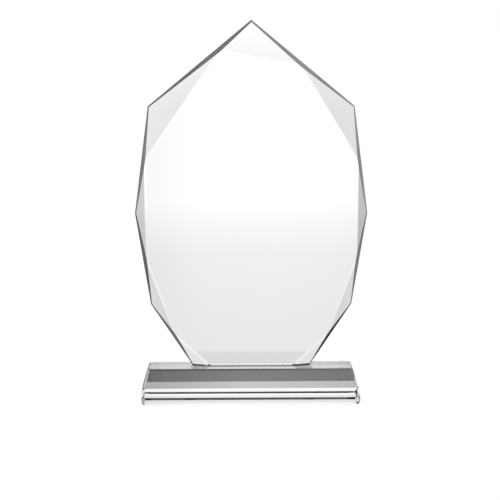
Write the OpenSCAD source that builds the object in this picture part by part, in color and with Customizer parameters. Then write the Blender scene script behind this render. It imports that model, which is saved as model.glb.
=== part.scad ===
// Crystal award: a clear faceted plate bonded upright on a clear sloped base block.
// Millimetres, Z up. The front of the award faces -Y and its flat back faces +Y.

/* [Plate] */
// height of the plate from its foot to its point
plate_h = 230; // [180:1:300]
// width of the plate at the waist, its widest place
plate_w = 154.5; // [120:0.5:200]
// thickness of the plate
plate_t = 6; // [5:0.5:10]
// how far the slanted edges set the front face in from the outline
edge_inset = 2.7; // [1:0.1:3.5]
// thickness of edge that is left behind the facets at the foot, the hips and the waist
corner_land = 1.4; // [0.6:0.1:2]
// thickness of edge that is left behind the facets at the shoulders
shoulder_land = 1.8; // [0.6:0.1:3]
// thickness of edge that is left behind the facet at the point
point_land = 2.4; // [0.6:0.1:3.5]
// width of the polished strip along the ridge of each facet
ridge_w = 1.2; // [0.4:0.1:2]
// chamfer along the back of the foot of the plate
foot_arris = 0.7; // [0.3:0.1:1]
// chamfer along the front of the foot and its facets
front_arris = 0.25; // [0.2:0.05:0.5]

/* [Outline] */
// shoulder width as a share of the waist width
shoulder_share = 0.885; // [0.8:0.005:0.95]
// hip width as a share of the waist width
hip_share = 0.867; // [0.78:0.001:0.92]
// foot width as a share of the waist width
foot_share = 0.513; // [0.4:0.001:0.6]
// shoulder level as a share of the plate's height
shoulder_level = 0.753; // [0.68:0.001:0.8]
// waist level as a share of the plate's height
waist_level = 0.444; // [0.38:0.001:0.5]
// hip level as a share of the plate's height
hip_level = 0.178; // [0.12:0.001:0.24]

/* [Facets] */
// where the gap between facets lies on the left roof edge, as a share of it from the shoulder
roof_split_left = 0.68; // [0.4:0.01:0.7]
// where the gap between facets lies on the right roof edge, as a share of it from the shoulder
roof_split_right = 0.51; // [0.4:0.01:0.7]
// where the gap between facets lies on the edges below, as a share of each edge from its lower end
side_split = 0.5; // [0.4:0.01:0.6]
// length of full edge that is left between neighbouring facets
facet_gap = 3; // [1:0.5:6]
// how far the foot facets run along the foot, as a share of the foot width
foot_reach = 0.11; // [0.08:0.01:0.2]

/* [Base] */
// width of the base at the bottom
base_w = 145; // [120:0.5:180]
// depth of the base at the bottom
base_d = 38; // [34:0.5:60]
// height of the base block
base_h = 23.3; // [20:0.1:32]
// how far the front and back slopes lean in from the upright band to the top
front_lean = 5.6; // [3:0.1:7]
// how far the end slopes lean in from the upright band to the top
end_lean = 4.7; // [2:0.1:7]
// height of the upright band, with its chamfer, at the bottom of the base
band_h = 6.6; // [5:0.1:9]
// chamfer round the bottom of the base
bottom_chamfer = 1.8; // [1:0.1:3]
// width of the polished chamfers on the other edges of the base
arris = 1.4; // [0.6:0.1:2]
// how far the middle of the base lies to the left of the plate's middle
base_shift = 0.75; // [0:0.05:1.5]

/* [Bond and pads] */
// thickness of the adhesive film
bond_t = 0.2; // [0.1:0.05:0.4]
// how far the film stops short of the flat of the plate's foot at the back
bond_inset = 0.2; // [0.1:0.05:0.6]
// how far the bead of adhesive along the front of the foot reaches out over the base
bead_reach = 2; // [0.5:0.1:2.5]
// how far the bead climbs the front chamfer of the foot, as a share of its height
bead_climb = 0.8; // [0.6:0.05:0.95]
// diameter of a bumper pad
pad_d = 8; // [6:0.5:12]
// thickness of a bumper pad
pad_h = 0.8; // [0.5:0.1:2]
// distance from a pad's edge to the chamfer round the bottom
pad_margin = 2.5; // [1:0.5:5]

/* [Hidden] */
$fn = 64;
base_top = pad_h + base_h;
plate_foot = base_top + bond_t;
back_y = plate_t / 2;
front_y = -plate_t / 2;
back_chamfer_w = foot_arris * sqrt(2);
front_chamfer_w = front_arris * sqrt(2);
cut_size = plate_h + plate_w + base_w;
pad_x = base_w / 2 - bottom_chamfer - pad_margin - pad_d / 2;
pad_y = base_d / 2 - bottom_chamfer - pad_margin - pad_d / 2;

// corners of the plate, from the left foot round by the point to the right foot
left_half = [[-foot_share, 0], [-hip_share, hip_level], [-1, waist_level],
             [-shoulder_share, shoulder_level]];
right_half = [for (i = [3 : -1 : 0]) [-left_half[i].x, left_half[i].y]];
shares = concat(left_half, [[0, 1]], right_half);
outline = [for (s = shares) [s.x * plate_w / 2, s.y * plate_h]];
corner_count = len(outline);
last = corner_count - 1;

// depth at which the facet of corner i meets the corner
lands = [corner_land, corner_land, corner_land, shoulder_land, point_land,
         shoulder_land, corner_land, corner_land, corner_land];
function land_y(i) = back_y - lands[i];

// the side after corner i, and its outward normal
function side(i) = outline[i + 1] - outline[i];
function side_out(i) = let (s = side(i) / norm(side(i))) [-s.y, s.x];

// corner i of the front face, set in from the two slanted edges that meet there
function front_corner(i) =
    i == 0 ? outline[0] + [-edge_inset / side_out(0).x, 0]
    : i == last ? outline[last] - [edge_inset / side_out(last - 1).x, 0]
    : let (a = side_out(i - 1), b = side_out(i))
      outline[i] - edge_inset * (a + b) / (1 + a * b);

// share of side i, from its start, at the gap between the facets of its two corners
function split(i) =
    i == 3 ? roof_split_left
    : i == 4 ? 1 - roof_split_right
    : i < 3 ? side_split : 1 - side_split;

// point on the front face at the middle of the gap between the facets along side i, moved
// along the side by a given length
function meet(i, along) =
    let (v = front_corner(i + 1) - front_corner(i))
    front_corner(i) + split(i) * v + along * v / norm(v);

// ends of the facet at corner i, on the front face
function facet_start(i) =
    i == 0 ? front_corner(0) + [foot_reach * foot_share * plate_w, 0]
    : meet(i - 1, facet_gap / 2);
function facet_end(i) =
    i == last ? front_corner(last) - [foot_reach * foot_share * plate_w, 0]
    : meet(i, -facet_gap / 2);

// a point of the plate's drawing at depth y, on the finished award
function at_depth(p, y) = [p.x, y, plate_foot + p.y];

// unit normal of the plane through three points, turned to face away from the plate's middle
plate_middle = at_depth([0, waist_level * plate_h], 0);
function away(a, b, c) =
    let (n = cross(b - a, c - a), u = n / norm(n)) u * (a - plate_middle) > 0 ? u : -u;

// block that takes away everything beyond a plane, given as [point, outward normal]
module beyond(plane) {
    n = plane[1];
    translate(plane[0])
        rotate([0, acos(n.z), atan2(n.y, n.x)])
            translate([-cut_size, -cut_size, 0])
                cube([2 * cut_size, 2 * cut_size, 2 * cut_size]);
}

// what is left of a blank after it is ground to a list of planes, one after the other
module ground(planes, k = 0) {
    if (k == len(planes))
        children();
    else
        difference() {
            ground(planes, k + 1)
                children();
            beyond(planes[k]);
        }
}

// plane that chamfers the edge between faces with normals a and b, through a point of that edge
function chamfer(point, a, b, width) =
    let (n = (a + b) / norm(a + b), half_angle = acos(a * b) / 2)
    [point - n * width / 2 * tan(half_angle), n];

// slanted edge along side i
function edge_plane(i) =
    let (p = at_depth(outline[i], back_y))
    [p, away(p, at_depth(outline[i + 1], back_y), at_depth(front_corner(i), front_y))];

// facet at corner i
function facet_plane(i) =
    let (p = at_depth(facet_start(i), front_y))
    [p, away(p, at_depth(facet_end(i), front_y), at_depth(outline[i], land_y(i)))];

up = [0, 0, 1];
ahead = [0, -1, 0];
plate_planes = concat(
    [for (i = [0 : last - 1]) edge_plane(i)],
    [for (i = [0 : last]) facet_plane(i)],
    [for (i = [0 : last]) chamfer(facet_plane(i)[0], ahead, facet_plane(i)[1], ridge_w)],
    [for (i = [0, last])
        chamfer(at_depth(outline[i], land_y(i)), facet_plane(i)[1], -up, front_chamfer_w)],
    [chamfer([0, front_y, plate_foot], ahead, -up, front_chamfer_w),
     chamfer([0, back_y, plate_foot], -ahead, -up, back_chamfer_w)]);

// slab ground to the slanted edges, the facets, the ridge strips and the chamfer of the foot
module plate() {
    color("aliceblue")
        ground(plate_planes)
            translate([-plate_w, front_y, plate_foot])
                cube([2 * plate_w, plate_t, 2 * plate_h]);
}

// slopes of the base, with s as the sign of the side that they face
slope_h = base_h - band_h;
top_x = base_w / 2 - end_lean;
top_y = base_d / 2 - front_lean;
function front_slope(s) =
    [[0, s * top_y, base_top], [0, s * slope_h, front_lean] / norm([slope_h, front_lean])];
function end_slope(s) =
    [[s * top_x, 0, base_top], [s * slope_h, 0, end_lean] / norm([slope_h, end_lean])];

// chamfers at the corner of the base with signs x and y: up its slopes and up its band
function corner_planes(x, y) =
    [chamfer([x * top_x, y * top_y, base_top], end_slope(x)[1], front_slope(y)[1], arris),
     chamfer([x * base_w / 2, y * base_d / 2, pad_h], [x, 0, 0], [0, y, 0], arris)];

bottom_chamfer_w = bottom_chamfer * sqrt(2);
base_planes = [for (s = [-1, 1]) each concat(
    [front_slope(s), end_slope(s)],
    [for (slope = [front_slope(s), end_slope(s)]) chamfer(slope[0], slope[1], up, arris)],
    [chamfer([0, s * base_d / 2, pad_h], [0, s, 0], -up, bottom_chamfer_w),
     chamfer([s * base_w / 2, 0, pad_h], [s, 0, 0], -up, bottom_chamfer_w)],
    corner_planes(-1, s),
    corner_planes(1, s))];

// block ground to the slopes above an upright band, with all its edges chamfered
module base() {
    color("lightcyan")
        translate([-base_shift, 0, 0])
            ground(base_planes)
                translate([-base_w / 2, -base_d / 2, pad_h])
                    cube([base_w, base_d, base_h]);
}

// slope of the bead along a line of the foot, given by a point in plan and the direction outward
function bead_plane(p, out) =
    let (low = [p.x, p.y, base_top] + bead_reach * out,
         rise = bond_t + bead_climb * front_arris,
         run = bead_reach + (1 - bead_climb) * front_arris,
         n = rise * out + run * up)
    [low, n / norm(n)];

// lines of the foot: the front face, the foot facet and the end on the side with sign s
foot_front = [0, front_y];
function foot_facet(s) = [s * facet_end(last).x, front_y];
function foot_facet_out(s) =
    let (v = outline[last] - facet_end(last), w = land_y(last) - front_y) [s * w, -v.x, 0] / norm([v.x, w]);
function foot_end(s) = [[s * outline[last].x, 0, base_top], [s, 0, 0]];

// film under the flat of the plate's foot, with a bead that fills the chamfer along its front
module bond() {
    bead_planes = concat([bead_plane(foot_front, ahead)],
                         [for (s = [-1, 1]) bead_plane(foot_facet(s), foot_facet_out(s))],
                         [for (s = [-1, 1]) foot_end(s)]);
    depth = plate_t - foot_arris - bond_inset + 2 * bead_reach;
    color("honeydew")
        difference() {
            ground(bead_planes)
                translate([-plate_w, front_y - 2 * bead_reach, base_top])
                    cube([2 * plate_w, depth, bond_t + front_arris]);
            plate();
        }
}

// one bumper pad, with x and y as the signs of its corner
module pad(x, y) {
    color("whitesmoke")
        translate([x * pad_x - base_shift, y * pad_y, 0])
            cylinder(d = pad_d, h = pad_h);
}

module pad_front_left() { pad(-1, -1); }
module pad_front_right() { pad(1, -1); }
module pad_back_left() { pad(-1, 1); }
module pad_back_right() { pad(1, 1); }

plate();
base();
bond();
pad_front_left();
pad_front_right();
pad_back_left();
pad_back_right();
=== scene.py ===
"""Looks of the crystal award: polished glass pieces, clear pads, a studio of soft panels and the camera."""
import itertools
import math

import bpy
import numpy as np
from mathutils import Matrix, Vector


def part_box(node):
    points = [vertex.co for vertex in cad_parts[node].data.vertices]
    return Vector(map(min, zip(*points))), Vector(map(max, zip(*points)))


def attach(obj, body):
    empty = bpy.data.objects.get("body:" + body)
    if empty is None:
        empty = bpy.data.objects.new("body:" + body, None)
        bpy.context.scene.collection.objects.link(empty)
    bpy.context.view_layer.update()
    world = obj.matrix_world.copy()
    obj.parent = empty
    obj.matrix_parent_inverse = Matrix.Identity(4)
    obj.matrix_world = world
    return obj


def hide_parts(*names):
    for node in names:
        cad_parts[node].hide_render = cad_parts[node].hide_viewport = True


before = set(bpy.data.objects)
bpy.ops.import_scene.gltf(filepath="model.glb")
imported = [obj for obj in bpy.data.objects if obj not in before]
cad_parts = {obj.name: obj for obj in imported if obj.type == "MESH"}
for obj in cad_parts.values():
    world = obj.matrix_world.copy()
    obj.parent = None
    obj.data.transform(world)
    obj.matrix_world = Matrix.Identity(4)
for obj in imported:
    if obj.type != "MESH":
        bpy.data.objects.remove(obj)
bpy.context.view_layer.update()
scene = bpy.context.scene
scene.view_settings.view_transform = "Standard"

MM = 0.001
PICTURE = 500

# polished edges, the bend from which an edge gets one, and the small gap that keeps touching faces apart
PLATE_ARRIS = 0.12 * MM
BASE_ARRIS = 0.15 * MM
ARRIS_BEND = math.radians(4)
CLEARANCE = 0.02 * MM
# rounding of a pad's rim as a share of its height
PAD_ROUNDING = 0.6
# corners nearer than this are one, and a corner nearer than this to a plane lies on it
SAME_CORNER = 0.005 * MM
ON_PLANE = 0.003 * MM

# index of refraction of the crystal, of a face where two pieces of it are bonded, and of the soft pads
CRYSTAL_INDEX = 1.52
BONDED_INDEX = 1.0
PAD_INDEX = 1.1


# Shapes

def packed_triangles(node):
    """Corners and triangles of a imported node."""
    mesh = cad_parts[node].data
    corners = np.empty(len(mesh.vertices) * 3)
    mesh.vertices.foreach_get("co", corners)
    mesh.calc_loop_triangles()
    index = np.empty(len(mesh.loop_triangles) * 3, dtype=int)
    mesh.loop_triangles.foreach_get("vertices", index)
    return corners.reshape(-1, 3), index.reshape(-1, 3)


def merged(corners, triangles):
    """The same triangles, with the corners that lie together taken as one."""
    grid = np.round(corners / (0.001 * MM))
    first, place = np.unique(grid, axis=0, return_index=True, return_inverse=True)[1:]
    return corners[first], place.ravel()[triangles]


def flat_faces(node):
    """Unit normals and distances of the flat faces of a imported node.

    The normal of each triangle is the cross product of two of its sides, its distance is the
    normal times a corner, and triangles of one plane are taken together.
    """
    corners, triangles = packed_triangles(node)
    a, b, c = corners[triangles].transpose(1, 0, 2)
    normals = np.cross(b - a, c - a)
    areas = np.linalg.norm(normals, axis=1)
    normals = normals / areas[:, None]
    distances = (normals * a).sum(axis=1)
    order = np.argsort(-areas)
    keys = np.round(np.column_stack([normals, distances / (10 * MM)])[order], 3)
    first = order[np.unique(keys, axis=0, return_index=True)[1]]
    return normals[first], distances[first]


def ground_solid(normals, distances):
    """Corners and faces of the solid that is left inside a set of planes.

    Each three planes meet in a point, and the points that lie inside all planes are the corners.
    The corners of a face are those on its plane, in the order of their angle round its middle.
    """
    triples = np.array(list(itertools.combinations(range(len(normals)), 3)))
    sets = normals[triples]
    meeting = np.abs(np.linalg.det(sets)) > 1e-7
    points = np.linalg.solve(sets[meeting], distances[triples[meeting]][..., None])[..., 0]
    inside = (points @ normals.T <= distances + 1e-8).all(axis=1)
    points = points[inside]
    same = np.unique(np.round(points / SAME_CORNER), axis=0, return_index=True)[1]
    corners = points[same]
    faces = []
    for normal, distance in zip(normals, distances):
        on_face = np.flatnonzero(np.abs(corners @ normal - distance) < ON_PLANE)
        turns = turn_about(corners[on_face], normal, corners[on_face].mean(axis=0))
        faces.append(on_face[np.argsort(turns)].tolist())
    return corners, faces


def turn_about(points, normal, middle):
    """Angle of each point round a middle, seen against a normal."""
    across = np.cross(normal, [0.3, 0.5, 0.8])
    across = across / np.linalg.norm(across)
    upward = np.cross(normal / np.linalg.norm(normal), across)
    return np.arctan2((points - middle) @ upward, (points - middle) @ across)


def split_round(corners, faces, face, patch):
    """Cuts a patch out of the middle of a face, and makes it the last face.

    Both outlines are taken in the order of their angle round the patch's middle. Each corner of the
    face goes with the patch corner at the nearest angle, and each side of the face is joined to the
    patch corners between those of its two ends.
    """
    normal = np.cross(*np.diff(corners[faces[face]][:3], axis=0))
    middle = patch.mean(axis=0)
    patch = patch[np.argsort(turn_about(patch, normal, middle))]
    outer = np.array(faces[face])
    outer_turns = turn_about(corners[outer], normal, middle)
    outer = outer[np.argsort(outer_turns)]
    apart = np.sort(outer_turns)[:, None] - turn_about(patch, normal, middle)
    partner = np.argmin(np.abs((apart + math.pi) % (2 * math.pi) - math.pi), axis=1)
    start, count = len(corners), len(patch)
    ring = []
    for i in range(len(outer)):
        j = (i + 1) % len(outer)
        steps = (partner[j] - partner[i]) % count
        inner = [start + int(partner[j] - k) % count for k in range(steps + 1)]
        ring.append([int(outer[i]), int(outer[j])] + inner)
    kept = faces[:face] + faces[face + 1:]
    return np.vstack([corners, patch]), kept + ring + [list(range(start, start + count))]


def add_piece(name, corners, faces, replaced, materials):
    """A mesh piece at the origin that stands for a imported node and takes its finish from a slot."""
    mesh = bpy.data.meshes.new(name)
    mesh.from_pydata(np.asarray(corners).tolist(), [], faces)
    mesh.validate()
    piece = bpy.data.objects.new(name, mesh)
    scene.collection.objects.link(piece)
    for material in materials:
        mesh.materials.append(material)
    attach(piece, "root")
    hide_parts(replaced)
    return piece


def polish_edges(piece, width):
    """Breaks the sharp edges of a ground piece with a narrow polished arris."""
    bevel = piece.modifiers.new("arris", "BEVEL")
    bevel.width = width
    bevel.segments = 2
    bevel.limit_method = "ANGLE"
    bevel.angle_limit = ARRIS_BEND


def turned(profile, centre, count=48):
    """Surface of a profile turned about an upright axis: x = r cos t, y = r sin t, z = height."""
    turn = np.linspace(0, 2 * math.pi, count, endpoint=False)
    radius, height = np.asarray(profile).T
    ring = np.stack([np.outer(radius, np.cos(turn)), np.outer(radius, np.sin(turn)),
                     np.outer(height, np.ones(count))], axis=-1)
    points = (ring + np.asarray(centre)).reshape(-1, 3)
    row = np.arange(len(radius) - 1)[:, None] * count
    col = np.arange(count)
    after = (col + 1) % count
    sides = np.stack([row + col, row + after, row + count + after, row + count + col], axis=-1)
    faces = sides.reshape(-1, 4).tolist()
    faces.append(list(range(count))[::-1])
    faces.append([(len(radius) - 1) * count + i for i in range(count)])
    return points, faces


# Materials

def new_material(name):
    """An empty node material with its output."""
    material = bpy.data.materials.new(name)
    material.use_nodes = True
    material.node_tree.nodes.clear()
    output = material.node_tree.nodes.new("ShaderNodeOutputMaterial")
    return material, material.node_tree.nodes, material.node_tree.links, output


def polish_group():
    """Node group for hand polish: faint waves in the surface and a trace of haze in its gloss."""
    group = bpy.data.node_groups.new("hand_polish", "ShaderNodeTree")
    nodes, links = group.nodes, group.links
    for name, value in (("Wave Size", 60.0), ("Wave Depth", 0.01), ("Haze", 0.01)):
        socket = group.interface.new_socket(name, in_out="INPUT", socket_type="NodeSocketFloat")
        socket.default_value = value
    group.interface.new_socket("Roughness", in_out="OUTPUT", socket_type="NodeSocketFloat")
    group.interface.new_socket("Normal", in_out="OUTPUT", socket_type="NodeSocketVector")
    inputs = nodes.new("NodeGroupInput")
    outputs = nodes.new("NodeGroupOutput")
    place = nodes.new("ShaderNodeTexCoord")
    waves = nodes.new("ShaderNodeTexNoise")
    waves.inputs["Detail"].default_value = 1.0
    links.new(place.outputs["Object"], waves.inputs["Vector"])
    links.new(inputs.outputs["Wave Size"], waves.inputs["Scale"])
    bump = nodes.new("ShaderNodeBump")
    bump.inputs["Strength"].default_value = 1.0
    bump.inputs["Distance"].default_value = MM
    depth = nodes.new("ShaderNodeMath")
    depth.operation = "MULTIPLY"
    links.new(waves.outputs["Fac"], depth.inputs[0])
    links.new(inputs.outputs["Wave Depth"], depth.inputs[1])
    links.new(depth.outputs["Value"], bump.inputs["Height"])
    links.new(bump.outputs["Normal"], outputs.inputs["Normal"])
    haze = nodes.new("ShaderNodeTexNoise")
    haze.inputs["Scale"].default_value = 45.0
    haze.inputs["Detail"].default_value = 4.0
    links.new(place.outputs["Object"], haze.inputs["Vector"])
    gloss = nodes.new("ShaderNodeMath")
    gloss.operation = "MULTIPLY"
    links.new(haze.outputs["Fac"], gloss.inputs[0])
    links.new(inputs.outputs["Haze"], gloss.inputs[1])
    links.new(gloss.outputs["Value"], outputs.inputs["Roughness"])
    return group


hand_polish = polish_group()


def crystal(name, tint, index, wave_size, wave_depth, haze):
    """Polished crystal of the given tint, with hand-polish waves."""
    material, nodes, links, output = new_material(name)
    glass = nodes.new("ShaderNodeBsdfPrincipled")
    glass.inputs["Base Color"].default_value = tint
    glass.inputs["IOR"].default_value = index
    glass.inputs["Transmission Weight"].default_value = 1.0
    polish = nodes.new("ShaderNodeGroup")
    polish.node_tree = hand_polish
    polish.inputs["Wave Size"].default_value = wave_size
    polish.inputs["Wave Depth"].default_value = wave_depth
    polish.inputs["Haze"].default_value = haze
    links.new(polish.outputs["Roughness"], glass.inputs["Roughness"])
    links.new(polish.outputs["Normal"], glass.inputs["Normal"])
    links.new(glass.outputs["BSDF"], output.inputs["Surface"])
    return material


def bonded(name, tint):
    """Crystal or film at the bond, where light goes straight through from glass to glass."""
    material, nodes, links, output = new_material(name)
    glass = nodes.new("ShaderNodeBsdfPrincipled")
    glass.inputs["Base Color"].default_value = tint
    glass.inputs["IOR"].default_value = BONDED_INDEX
    glass.inputs["Transmission Weight"].default_value = 1.0
    glass.inputs["Roughness"].default_value = 0.0
    links.new(glass.outputs["BSDF"], output.inputs["Surface"])
    return material


plate_glass = crystal("plate_crystal_glass", (0.992, 0.996, 0.994, 1), CRYSTAL_INDEX, 14.0, 0.02, 0.02)
base_glass = crystal("base_crystal_glass", (0.992, 0.996, 0.994, 1), CRYSTAL_INDEX, 22.0, 0.004, 0.02)
bonded_face = bonded("bonded_face", (1, 1, 1, 1))
film_clear = bonded("clear_film", (0.97, 0.975, 0.97, 1))
# the bead's near-black tint is painted shade: it darkens the clear adhesive bead into the dark line along the
# plate's foot
bead_painted_shade = crystal("bead_painted_dark", (0.03, 0.03, 0.03, 1), CRYSTAL_INDEX, 400.0, 0.01, 0.04)
pad_clear = crystal("clear_pad_soft", (0.97, 0.975, 0.975, 1), PAD_INDEX, 300.0, 0.02, 0.1)


# Pieces

def highest_face(corners, faces):
    """Number of the face that lies highest."""
    return int(np.argmax([corners[face][:, 2].mean() for face in faces]))


def face_normals(piece):
    """Unit normals of the faces of a piece."""
    normals = np.empty(len(piece.data.polygons) * 3)
    piece.data.polygons.foreach_get("normal", normals)
    return normals.reshape(-1, 3)


# bonded faces: the plate's foot with its front chamfers, and what the adhesive covers of the base
film_corners, film_faces = merged(*packed_triangles("bond"))
film_low = film_corners[:, 2].min()
bond_outline = film_corners[np.isclose(film_corners[:, 2], film_low, atol=SAME_CORNER)]

plate_corners, plate_faces = ground_solid(*flat_faces("plate"))
plate = add_piece("plate_crystal", plate_corners, plate_faces, "plate",
                  [plate_glass, bonded_face])
facing = face_normals(plate)
foot = facing[:, 2] < -0.95
foot_chamfers = (facing[:, 2] < -0.6) & (facing[:, 1] < 0)
for face in np.flatnonzero(foot | foot_chamfers):
    plate.data.polygons[face].material_index = 1

base_corners, base_faces = ground_solid(*flat_faces("base"))
base_top_face = highest_face(base_corners, base_faces)
base_corners, base_faces = split_round(base_corners, base_faces, base_top_face, bond_outline)
base = add_piece("base_crystal", base_corners, base_faces, "base",
                 [base_glass, bonded_face])
base.data.polygons[len(base_faces) - 1].material_index = 1

# the film and its bead, drawn in a little from the glass; only the bead's slopes meet the air. The bead is
# tinted nearly black as painted shade for the dark line where the plate's foot meets the base
film_middle = (film_corners.min(axis=0) + film_corners.max(axis=0)) / 2
film_size = np.ptp(film_corners, axis=0)
film_corners = film_middle + (film_corners - film_middle) * (1 - 2 * CLEARANCE / film_size)
film = add_piece("bond_film", film_corners, film_faces.tolist(), "bond",
                 [film_clear, bead_painted_shade])
facing = face_normals(film)
slopes = (facing[:, 1] < -0.01) & (facing[:, 2] > 0.05)
ends = np.abs(facing[:, 0]) > 0.95
for face in np.flatnonzero(slopes | ends):
    film.data.polygons[face].material_index = 1

for node in ("pad_front_left", "pad_front_right", "pad_back_left", "pad_back_right"):
    low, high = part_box(node)
    radius = (high.x - low.x) / 2
    height = high.z - low.z - CLEARANCE
    bow = np.linspace(0, math.pi / 2, 9)
    rounding = PAD_ROUNDING * height
    profile = np.column_stack([radius - rounding + rounding * np.sin(bow), rounding * (1 - np.cos(bow))])
    profile = np.vstack([[radius - 2 * rounding, 0], profile, [radius, height]])
    middle = ((low.x + high.x) / 2, (low.y + high.y) / 2, low.z)
    points, faces = turned(profile, middle)
    pad = add_piece("bumper_" + node, points, faces, node, [pad_clear])
    pad.data.shade_smooth()

polish_edges(plate, PLATE_ARRIS)
polish_edges(base, BASE_ARRIS)


# Studio

FLOOR_REACH = 6.0
FLOOR_LEVEL = -0.1 * MM
FLOOR_GREY = (0.4, 0.4, 0.4, 1)
FLOOR_GLOW = 0.9


def white_floor():
    """Wide pale floor under the pads. The camera sees it white, with the award's soft shadow on it."""
    mesh = bpy.data.meshes.new("floor")
    reach, level = FLOOR_REACH, FLOOR_LEVEL
    square = [(-reach, -reach, level), (reach, -reach, level), (reach, reach, level), (-reach, reach, level)]
    mesh.from_pydata(square, [], [(0, 1, 2, 3)])
    floor = bpy.data.objects.new("floor", mesh)
    scene.collection.objects.link(floor)
    material, nodes, links, output = new_material("floor_white")
    pale = nodes.new("ShaderNodeBsdfDiffuse")
    pale.inputs["Color"].default_value = FLOOR_GREY
    glow = nodes.new("ShaderNodeEmission")
    glow.inputs["Strength"].default_value = FLOOR_GLOW
    both = nodes.new("ShaderNodeAddShader")
    links.new(pale.outputs["BSDF"], both.inputs[0])
    links.new(glow.outputs["Emission"], both.inputs[1])
    links.new(both.outputs["Shader"], output.inputs["Surface"])
    mesh.materials.append(material)
    floor.visible_transmission = False
    floor.visible_glossy = False


white_floor()


# Studio round the glass, with white as 1. By elevation in degrees: its brightness straight behind and
# straight ahead of the award, and how much of the falling off to the sides applies there.
STUDIO_LEVELS = [(-90, 0.68, 0.0), (-82, 0.68, 0.0), (-79, 0.12, 0.0), (-75.5, 0.12, 0.0), (-72, 0.55, 0.0),
                 (-66, 0.6, 0.0), (-57, 0.42, 0.0), (-48, 0.42, 0.0), (-43, 0.85, 0.0),
                 (-19, 0.85, 0.0), (-15, 0.83, 0.5), (-12.8, 0.825, 1.0),
                 (-11, 0.83, 1.0), (-9.4, 0.865, 1.0), (-8.1, 0.9, 1.0), (-7.2, 1.04, 1.0),
                 (10, 1.04, 1.0), (12, 0.83, 1.0), (13.5, 0.78, 1.0), (18.5, 0.75, 1.0), (20.5, 0.9, 0.8),
                 (22, 1.0, 0.5), (28, 1.0, 0.3), (33, 0.6, 0.0), (38, 0.12, 0.0), (58, 0.12, 0.0),
                 (68, 0.25, 0.0), (90, 0.25, 0.0)]
# How far the brightness falls by the angle away from straight behind or straight ahead, in degrees.
SIDE_FALLS = [(0, 0.0), (1.5, 0.01), (2.3, 0.03), (3.3, 0.09), (4.5, 0.12), (9.6, 0.21), (12.5, 0.26),
              (14, 0.34), (16.5, 0.5), (25, 0.5), (45, 0.4), (60, 0.2), (90, 0.0)]
# The studio is turned by this angle. The table's far edge lies at this elevation, is this soft to each side
# of it, and all below it is this much darker.
STUDIO_TURN = math.radians(2)
TABLE_EDGE = math.radians(-11.155)
TABLE_SOFTNESS = 0.001
TABLE_SHADE = 0.13
# Soft dark flags far out, where the plate's slanted edges look past the other side, and where the base's ends
# look: azimuth from straight behind, elevation, half width and half height in degrees, and the share of the
# light that they take. A lamp gives light instead: it makes a bright line of a ridge.
SOFT_FLAGS = {"left shoulder": (46.5, -11.2, 1.8, 3.0, 0.72),
              "right shoulder": (-44.8, -11.4, 1.8, 3.0, 0.34),
              "left waist": (46.9, -1.3, 3.0, 4.0, 1.0),
              "right waist": (-45.2, -1.0, 3.0, 4.0, 0.88),
              "left hip": (42.9, 15.2, 3.0, 4.0, 0.82),
              "right hip": (-41.0, 16.1, 3.0, 4.0, 1.0),
              "left hip mirrored": (-32.5, -29.1, 3.0, 3.5, 0.62),
              "right hip mirrored": (31.0, -26.6, 3.0, 3.5, 0.85),
              "left roof": (34.8, -37.1, 4.0, 4.0, 0.83),
              "right roof": (-32.0, -38.1, 4.0, 4.0, 0.73),
              "left end mirrored": (-11.6, 2.4, 2.0, 2.5, 0.3),
              "right end mirrored": (12.5, -1.2, 2.0, 2.3, 0.4),
              "left end wall": (-5.4, -10.8, 1.2, 1.4, 0.45),
              "left end slope": (26.5, -27.8, 3.0, 3.0, 0.38),
              "right end wall": (-33.0, -48.8, 4.0, 3.0, 0.8),
              "right end slope": (-23.9, -28.1, 3.0, 3.0, 0.3),
              "left hip facet": (14.5, -4.0, 1.6, 2.0, 0.09),
              "left ridge lamp": (7.8, -5.9, 1.3, 2.1, -0.25),
              "right ridge lamp": (-4.95, -6.6, 1.0, 2.6, -0.18)}
# a flag is full inside this part of its area, and fades from there to its rim
FLAG_CORE = 0.3


def ramp(nodes, links, factor, stops):
    """Grey ramp over a factor from 0 to 1, from pairs of place and value."""
    node = nodes.new("ShaderNodeValToRGB")
    elements = node.color_ramp.elements
    while len(elements) < len(stops):
        elements.new(0.5)
    for element, (place, value) in zip(elements, stops):
        element.position = place
        element.color = (value, value, value, 1)
    links.new(factor, node.inputs["Fac"])
    return node.outputs["Color"]


def calculate(nodes, links, operation, first, second=None, third=None):
    """A math node with inputs that are sockets or plain numbers."""
    node = nodes.new("ShaderNodeMath")
    node.operation = operation
    for socket, value in zip(node.inputs, (first, second, third)):
        if isinstance(value, bpy.types.NodeSocket):
            links.new(value, socket)
        elif value is not None:
            socket.default_value = value
    return node.outputs["Value"]


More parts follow.
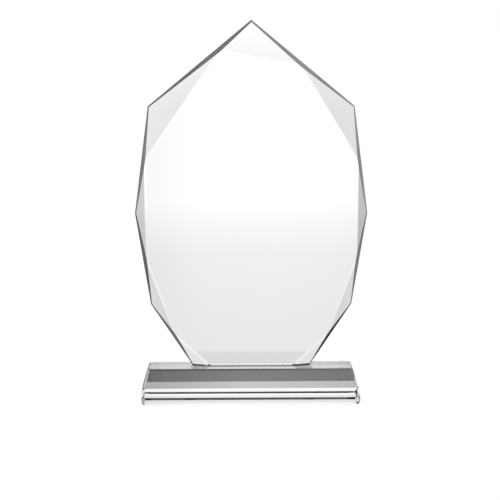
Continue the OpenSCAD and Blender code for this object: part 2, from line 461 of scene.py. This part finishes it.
def studio_world():
    """White backdrop for the camera; for the glass, a bright studio that falls off to the sides.

    brightness = level(elevation) (1 - share(elevation) fall(azimuth)), less a share below the edge of
    the table. The azimuth is folded into the quarter from straight behind or ahead, 0, to aside, 90 degrees.
    Each flag takes its share inside an ellipse: (azimuth / half width)^2 + (elevation / half height)^2 < 1,
    both counted from its middle.
    """
    world = bpy.data.worlds.new("studio")
    scene.world = world
    world.use_nodes = True
    nodes, links = world.node_tree.nodes, world.node_tree.links
    nodes.clear()
    output = nodes.new("ShaderNodeOutputWorld")
    backdrop = nodes.new("ShaderNodeBackground")
    links.new(backdrop.outputs["Background"], output.inputs["Surface"])
    place = nodes.new("ShaderNodeTexCoord")
    turned_place = nodes.new("ShaderNodeVectorRotate")
    turned_place.rotation_type = "Z_AXIS"
    turned_place.inputs["Angle"].default_value = STUDIO_TURN
    links.new(place.outputs["Generated"], turned_place.inputs["Vector"])
    parts = nodes.new("ShaderNodeSeparateXYZ")
    links.new(turned_place.outputs["Vector"], parts.inputs["Vector"])
    elevation = calculate(nodes, links, "ARCSINE", parts.outputs["Z"])
    height = calculate(nodes, links, "MULTIPLY_ADD", elevation, 1 / math.pi, 0.5)
    level = ramp(nodes, links, height, [(row[0] / 180 + 0.5, row[1]) for row in STUDIO_LEVELS])
    share = ramp(nodes, links, height, [(row[0] / 180 + 0.5, row[2]) for row in STUDIO_LEVELS])
    aside = calculate(nodes, links, "ABSOLUTE", parts.outputs["X"])
    along = calculate(nodes, links, "ABSOLUTE", parts.outputs["Y"])
    turn = calculate(nodes, links, "ARCTAN2", aside, along)
    quarter = calculate(nodes, links, "MULTIPLY", turn, 2 / math.pi)
    fall = ramp(nodes, links, quarter, [(angle / 90, fall) for angle, fall in SIDE_FALLS])
    left = calculate(nodes, links, "SUBTRACT", 1.0, calculate(nodes, links, "MULTIPLY", share, fall))
    edge = nodes.new("ShaderNodeMapRange")
    edge.interpolation_type = "SMOOTHSTEP"
    edge.inputs["From Min"].default_value = TABLE_EDGE - TABLE_SOFTNESS
    edge.inputs["From Max"].default_value = TABLE_EDGE + TABLE_SOFTNESS
    edge.inputs["To Min"].default_value = 1 - TABLE_SHADE
    links.new(elevation, edge.inputs["Value"])
    table = calculate(nodes, links, "MULTIPLY", left, edge.outputs["Result"])
    seen = calculate(nodes, links, "MULTIPLY", level, table)
    plain = nodes.new("ShaderNodeSeparateXYZ")
    links.new(place.outputs["Generated"], plain.inputs["Vector"])
    azimuth = calculate(nodes, links, "ARCTAN2", plain.outputs["X"], plain.outputs["Y"])
    for name, (aim, rise, half_width, half_height, taken) in SOFT_FLAGS.items():
        wide = 1 / math.radians(half_width)
        high = 1 / math.radians(half_height)
        across = calculate(nodes, links, "MULTIPLY_ADD", azimuth, wide, -aim / half_width)
        upward = calculate(nodes, links, "MULTIPLY_ADD", elevation, high, -rise / half_height)
        apart = calculate(nodes, links, "MULTIPLY", across, across)
        apart = calculate(nodes, links, "MULTIPLY_ADD", upward, upward, apart)
        flag = nodes.new("ShaderNodeMapRange")
        flag.name = name
        flag.interpolation_type = "SMOOTHSTEP"
        flag.inputs["From Min"].default_value = FLAG_CORE
        flag.inputs["To Min"].default_value = 1 - taken
        links.new(apart, flag.inputs["Value"])
        seen = calculate(nodes, links, "MULTIPLY", seen, flag.outputs["Result"])
    path = nodes.new("ShaderNodeLightPath")
    white = calculate(nodes, links, "MAXIMUM", seen, path.outputs["Is Camera Ray"])
    links.new(white, backdrop.inputs["Color"])


studio_world()


# Dark cards that only the glass sees. Upright strips go round the base: distance from it, heights in
# millimetres, and shades at the left, in the middle and at the right. The strips are painted shade: they
# stand in for the shaded floor close round the base, and give the base its grey bands where its glass looks
# at them.
BASE_SHADE_STRIPS = {"strip_grey": (131, (-77, -40), (0.37, 0.56, 0.48)),
               "strip_dark": (131, (-104, -77), (0.07, 0.155, 0.12)),
               "strip_black": (131, (-162, -104), (0.02, 0.06, 0.12))}
# how far inside the base's back a ray may start to see the strips; the plate's own rays start farther in
STRIP_DEPTH = 15
# Small flags behind the plate are what the base's top mirrors through the foot facets: from and to aside,
# distance behind, from and to in height, in millimetres, and the shade.
FOOT_FLAGS = {"flag_foot_left": ((-72, -40), 600, (282, 305), 0.0),
              "flag_foot_right": ((72, 102), 600, (282, 305), 0.0)}
base_low, base_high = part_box("base")


def dark_card(name, path, heights, shades, closed, seen_within):
    """Upright strip along a path on the floor, between two heights, with shades from left to right.

    Only glass that stands within a distance over the floor sees it: length^2 - (height - base middle)^2
    of the ray is less than that distance squared. Rays from farther away go on through the card.
    """
    count = len(path)
    points = [(x, y, z) for z in heights for x, y in path]
    steps = range(count if closed else count - 1)
    faces = [(i, (i + 1) % count, count + (i + 1) % count, count + i) for i in steps]
    mesh = bpy.data.meshes.new(name)
    mesh.from_pydata((np.array(points) * MM).tolist(), [], faces)
    card = bpy.data.objects.new(name, mesh)
    scene.collection.objects.link(card)
    material, nodes, links, output = new_material(name)
    place = nodes.new("ShaderNodeTexCoord")
    parts = nodes.new("ShaderNodeSeparateXYZ")
    links.new(place.outputs["Object"], parts.inputs["Vector"])
    reach = (base_high.x - base_low.x) / 2
    across = calculate(nodes, links, "MULTIPLY_ADD", parts.outputs["X"], 0.5 / reach, 0.5)
    tone = nodes.new("ShaderNodeEmission")
    links.new(ramp(nodes, links, across, list(zip((0, 0.5, 1), shades))), tone.inputs["Color"])
    ray = nodes.new("ShaderNodeLightPath")
    length = calculate(nodes, links, "POWER", ray.outputs["Ray Length"], 2.0)
    fallen = calculate(nodes, links, "SUBTRACT", parts.outputs["Z"], (base_low.z + base_high.z) / 2)
    fallen = calculate(nodes, links, "POWER", fallen, 2.0)
    over_floor = calculate(nodes, links, "SUBTRACT", length, fallen)
    near = calculate(nodes, links, "LESS_THAN", over_floor, (seen_within * MM) ** 2)
    passing = nodes.new("ShaderNodeBsdfTransparent")
    card_or_air = nodes.new("ShaderNodeMixShader")
    links.new(near, card_or_air.inputs["Fac"])
    links.new(passing.outputs["BSDF"], card_or_air.inputs[1])
    links.new(tone.outputs["Emission"], card_or_air.inputs[2])
    links.new(card_or_air.outputs["Shader"], output.inputs["Surface"])
    material.cycles.emission_sampling = "NONE"
    mesh.materials.append(material)
    card.visible_camera = False
    card.visible_diffuse = False
    card.visible_shadow = False


for name, (distance, heights, shades) in BASE_SHADE_STRIPS.items():
    left = base_low.x / MM - distance
    right = base_high.x / MM + distance
    back = base_high.y / MM + distance
    ring = [(left, -back), (right, -back), (right, back), (left, back)]
    dark_card(name, ring, heights, shades, True, distance + STRIP_DEPTH)
# the foot flags are seen by all glass in front of them
for name, (aside, behind, heights, shade) in FOOT_FLAGS.items():
    dark_card(name, [(x, behind) for x in aside], heights, (shade, shade, shade), False, 2 * behind)


# Camera

CAMERA_DISTANCE = 1.4
CAMERA_ELEVATION = math.radians(11.53)
CAMERA_AZIMUTH = math.radians(-1.43)
AIM_HEIGHT = 0.1
PIXELS_PER_METRE = 1507.8
AIM_PIXEL = (251.41, 216.83)


def photo_camera():
    """Camera at the photograph's viewing angle, aimed above the middle of the base's top."""
    base_top = base_high.z
    reach = CAMERA_DISTANCE * math.cos(CAMERA_ELEVATION)
    place = Vector((reach * math.sin(CAMERA_AZIMUTH), -reach * math.cos(CAMERA_AZIMUTH),
                    base_top + CAMERA_DISTANCE * math.sin(CAMERA_ELEVATION)))
    sight = Vector((0, 0, base_top + AIM_HEIGHT)) - place
    lens = bpy.data.cameras.new("photo_camera")
    camera = bpy.data.objects.new("photo_camera", lens)
    camera.location = place
    camera.rotation_euler = sight.to_track_quat("-Z", "Y").to_euler()
    lens.sensor_width = 36
    lens.lens = PIXELS_PER_METRE * sight.length * lens.sensor_width / PICTURE
    lens.shift_x = 0.5 - AIM_PIXEL[0] / PICTURE
    lens.shift_y = AIM_PIXEL[1] / PICTURE - 0.5
    scene.collection.objects.link(camera)
    scene.camera = camera


photo_camera()
